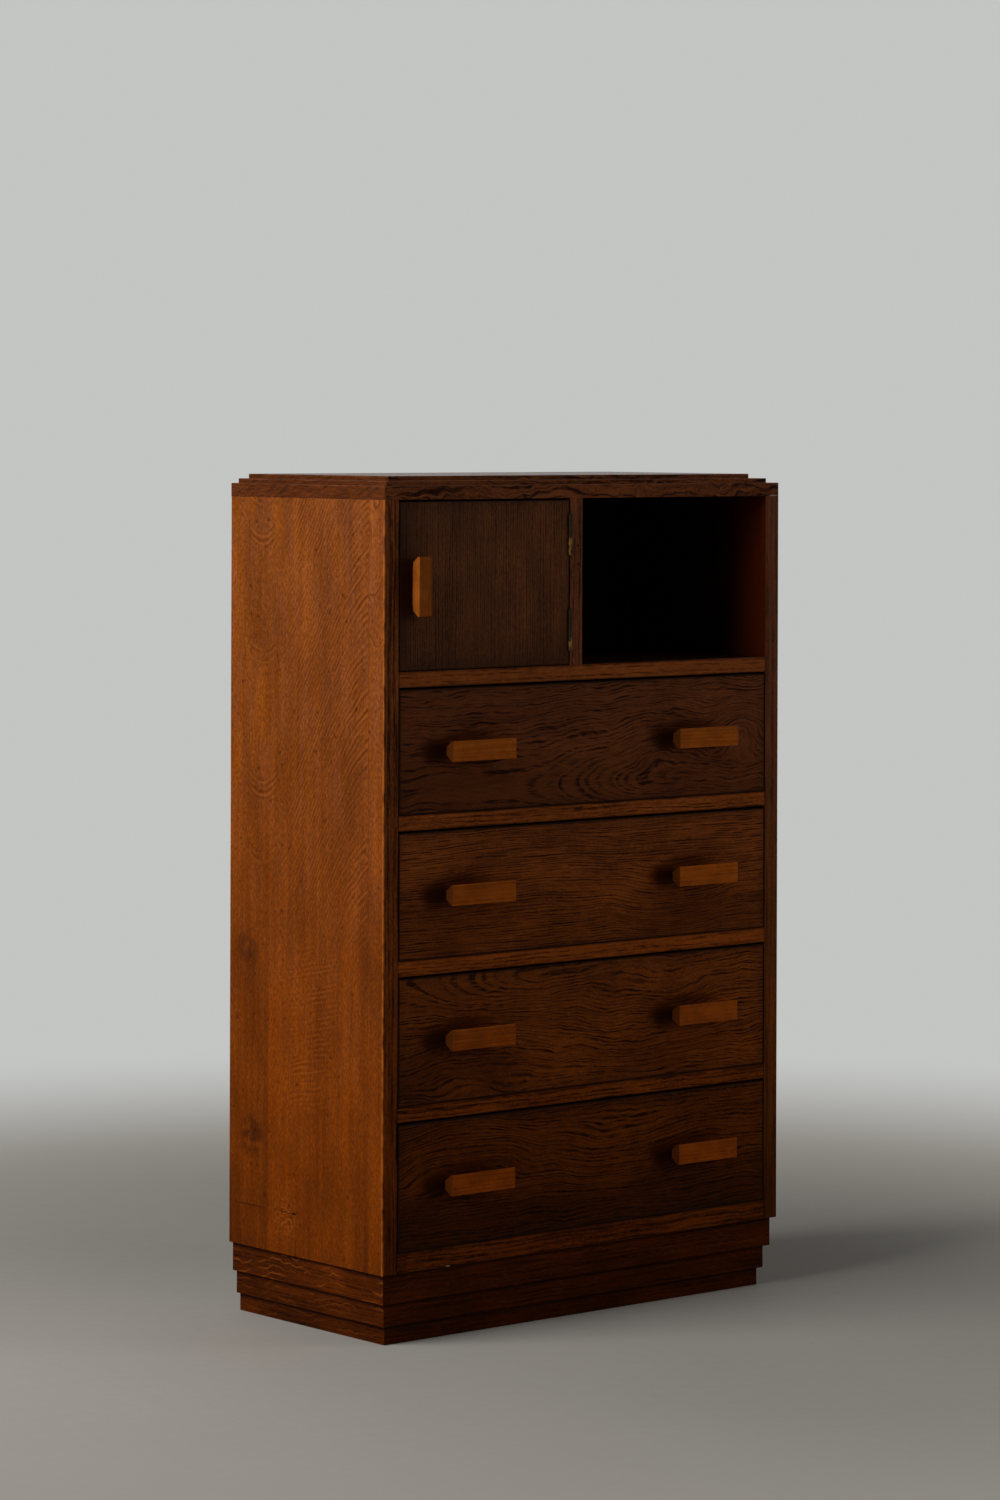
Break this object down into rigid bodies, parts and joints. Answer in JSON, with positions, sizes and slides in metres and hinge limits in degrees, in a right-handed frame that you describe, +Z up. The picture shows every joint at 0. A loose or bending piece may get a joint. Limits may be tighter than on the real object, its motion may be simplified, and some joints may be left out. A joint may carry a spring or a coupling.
{
  "type": "chest of drawers",
  "caption": "Tall shallow oak chest with drawers, a small hinged door beside an open compartment, a stepped top and a stepped plinth.",
  "frame": {"origin": "on the floor, at the middle of the chest's overall footprint, handles included", "axes": "+Z up, +X to the right as seen from the front, -Y out of the front"},
  "size_m": [0.635, 0.3182, 1.018],
  "materials": {
    "stained_oak": "satin brown stain",
    "honey_oak": "satin, worn",
    "plain_softwood": "bare, aged",
    "back_board": "bare, aged",
    "hinge_brass": "tarnished",
    "screw_steel": "dull"
  },
  "bodies": {
    "carcase": {"left_side": "stained_oak", "right_side": "stained_oak", "top_lower_board": "stained_oak", "top_middle_board": "stained_oak", "top_upper_board": "stained_oak", "shelf_board": "stained_oak", "partition": "stained_oak", "rail_2": "stained_oak", "rail_3": "stained_oak", "rail_4": "stained_oak", "bottom_rail": "stained_oak", "plinth_front": "stained_oak", "plinth_left": "stained_oak", "plinth_right": "stained_oak", "drawer_runners": "plain_softwood", "drawer_stops": "plain_softwood", "door_stop": "plain_softwood", "plinth_back": "plain_softwood", "back_panel": "back_board", "back_screws": "screw_steel", "hinge_frame_leaves": "hinge_brass", "hinge_pins": "hinge_brass", "hinge_frame_screws": "hinge_brass"},
    "door": {"door_panel": "stained_oak", "door_handle": "honey_oak", "door_handle_screws": "screw_steel", "hinge_door_leaves": "hinge_brass", "hinge_door_screws": "hinge_brass"},
    "drawer_1": {"drawer_1_front": "stained_oak", "drawer_1_left_side": "plain_softwood", "drawer_1_right_side": "plain_softwood", "drawer_1_back": "plain_softwood", "drawer_1_bottom": "plain_softwood", "drawer_1_handle_left": "honey_oak", "drawer_1_handle_right": "honey_oak", "drawer_1_handle_screws": "screw_steel"},
    "drawer_2": {"drawer_2_front": "stained_oak", "drawer_2_left_side": "plain_softwood", "drawer_2_right_side": "plain_softwood", "drawer_2_back": "plain_softwood", "drawer_2_bottom": "plain_softwood", "drawer_2_handle_left": "honey_oak", "drawer_2_handle_right": "honey_oak", "drawer_2_handle_screws": "screw_steel"},
    "drawer_3": {"drawer_3_front": "stained_oak", "drawer_3_left_side": "plain_softwood", "drawer_3_right_side": "plain_softwood", "drawer_3_back": "plain_softwood", "drawer_3_bottom": "plain_softwood", "drawer_3_handle_left": "honey_oak", "drawer_3_handle_right": "honey_oak", "drawer_3_handle_screws": "screw_steel"},
    "drawer_4": {"drawer_4_front": "stained_oak", "drawer_4_left_side": "plain_softwood", "drawer_4_right_side": "plain_softwood", "drawer_4_back": "plain_softwood", "drawer_4_bottom": "plain_softwood", "drawer_4_handle_left": "honey_oak", "drawer_4_handle_right": "honey_oak", "drawer_4_handle_screws": "screw_steel"}
  },
  "joints": [
    {"name": "door_hinge", "type": "hinge", "parent": "carcase", "child": "door", "pos_m": [-0.0305, -0.13845, 0.889], "axis": [0, 0, 1], "range_deg": [0, 170]},
    {"name": "drawer_1_slide", "type": "slide", "parent": "carcase", "child": "drawer_1", "axis": [0, -1, 0], "range_m": [0, 0.2]},
    {"name": "drawer_2_slide", "type": "slide", "parent": "carcase", "child": "drawer_2", "axis": [0, -1, 0], "range_m": [0, 0.2]},
    {"name": "drawer_3_slide", "type": "slide", "parent": "carcase", "child": "drawer_3", "axis": [0, -1, 0], "range_m": [0, 0.2]},
    {"name": "drawer_4_slide", "type": "slide", "parent": "carcase", "child": "drawer_4", "axis": [0, -1, 0], "range_m": [0, 0.2]}
  ]
}
